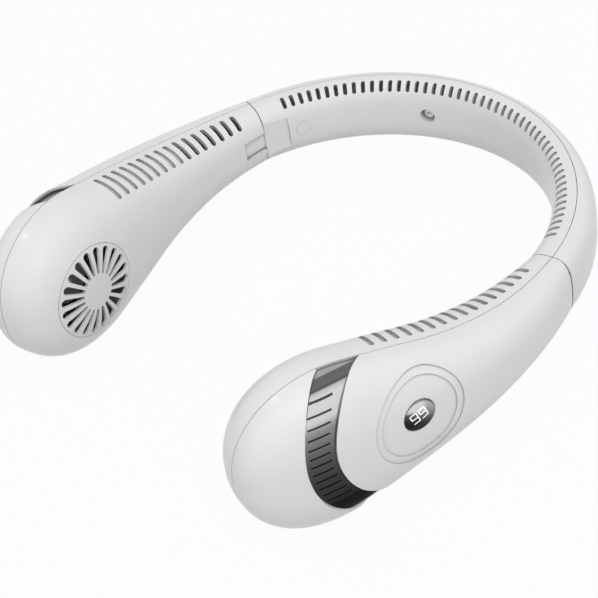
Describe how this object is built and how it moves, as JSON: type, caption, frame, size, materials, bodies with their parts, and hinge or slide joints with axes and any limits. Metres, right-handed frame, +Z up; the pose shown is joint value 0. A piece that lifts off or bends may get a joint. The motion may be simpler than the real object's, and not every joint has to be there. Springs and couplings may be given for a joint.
{
  "type": "neck fan",
  "caption": "Wearable neck fan: white U-shaped collar with hinged teardrop arms, round intake grilles, rows of air slots, dark louver bands and a round display button.",
  "frame": {"origin": "middle of the bounding box on its underside, below the bulbs", "axes": "+Z up as worn, +Y toward the back of the collar, -Y toward the open front, +X toward the arm with the display"},
  "size_m": [0.1662, 0.177, 0.0532],
  "materials": {
    "shell_white": "satin gloss moulded shell",
    "louver_black": "gloss black moulded strip",
    "lens_black": "polished dark lens",
    "digit_white": "lit display block",
    "blower_plastic": "moulded matte",
    "fan_plastic": "moulded matte",
    "motor_steel": "bright drawn steel",
    "magnet_dark": "sintered ring",
    "bush_brass": "sintered bronze",
    "stator_copper": "wound copper on steel plates",
    "cell_can": "sleeved metal can",
    "cable_sleeve": "soft sleeve",
    "screw_steel": "plated steel",
    "plug_rubber": "soft plug",
    "board_green": "solder mask",
    "switch_black": "moulded",
    "pad_silicone": "soft ring",
    "socket_steel": "bright shell"
  },
  "bodies": {
    "collar": {"collar_outer_shell": "shell_white", "collar_inner_shell": "shell_white", "collar_screws": "screw_steel", "screw_plugs": "plug_rubber", "collar_cable": "cable_sleeve", "left_hinge_pin": "motor_steel", "right_hinge_pin": "motor_steel", "left_hinge_lead": "cable_sleeve", "right_hinge_lead": "cable_sleeve"},
    "left_arm": {"left_outer_shell": "shell_white", "left_inner_shell": "shell_white", "left_intake_grille": "shell_white", "left_louver_band": "louver_black", "left_blower_housing": "blower_plastic", "left_blower_cover": "blower_plastic", "left_blower_screws": "screw_steel", "left_bearing_bush": "bush_brass", "left_stator": "stator_copper", "left_battery_cell": "cell_can", "left_arm_cable": "cable_sleeve"},
    "left_fan": {"left_impeller": "fan_plastic", "left_rotor_can": "motor_steel", "left_magnet_ring": "magnet_dark", "left_motor_shaft": "motor_steel"},
    "right_arm": {"right_outer_shell": "shell_white", "right_inner_shell": "shell_white", "right_intake_grille": "shell_white", "right_louver_band": "louver_black", "right_blower_housing": "blower_plastic", "right_blower_cover": "blower_plastic", "right_blower_screws": "screw_steel", "right_bearing_bush": "bush_brass", "right_stator": "stator_copper", "right_battery_cell": "cell_can", "right_arm_cable": "cable_sleeve", "main_board": "board_green", "tact_switch": "switch_black", "return_pad": "pad_silicone", "usb_socket": "socket_steel"},
    "right_fan": {"right_impeller": "fan_plastic", "right_rotor_can": "motor_steel", "right_magnet_ring": "magnet_dark", "right_motor_shaft": "motor_steel"},
    "power_button": {"display_lens": "lens_black", "digit_block": "digit_white"}
  },
  "joints": [
    {"name": "left_arm_hinge", "type": "hinge", "parent": "collar", "child": "left_arm", "pos_m": [-0.07168, 0.03166, 0.02661], "axis": [0, 0, -1], "range_deg": [0, 12], "deforming": ["left_hinge_lead"]},
    {"name": "right_arm_hinge", "type": "hinge", "parent": "collar", "child": "right_arm", "pos_m": [0.07168, 0.03166, 0.02661], "axis": [0, 0, 1], "range_deg": [0, 12], "deforming": ["right_hinge_lead"]},
    {"name": "left_fan_spin", "type": "hinge", "parent": "left_arm", "child": "left_fan", "pos_m": [-0.06022, -0.06336, 0.02631], "axis": [-0.9732, -0.23, 0], "continuous": true},
    {"name": "right_fan_spin", "type": "hinge", "parent": "right_arm", "child": "right_fan", "pos_m": [0.06022, -0.06336, 0.02631], "axis": [0.9732, -0.23, 0], "continuous": true},
    {"name": "button_press", "type": "slide", "parent": "right_arm", "child": "power_button", "axis": [-0.9732, 0.23, 0], "range_m": [0, 0.0005], "stiffness_N_per_m": 1500, "springref_m": -0.0003, "deforming": ["return_pad"]}
  ]
}
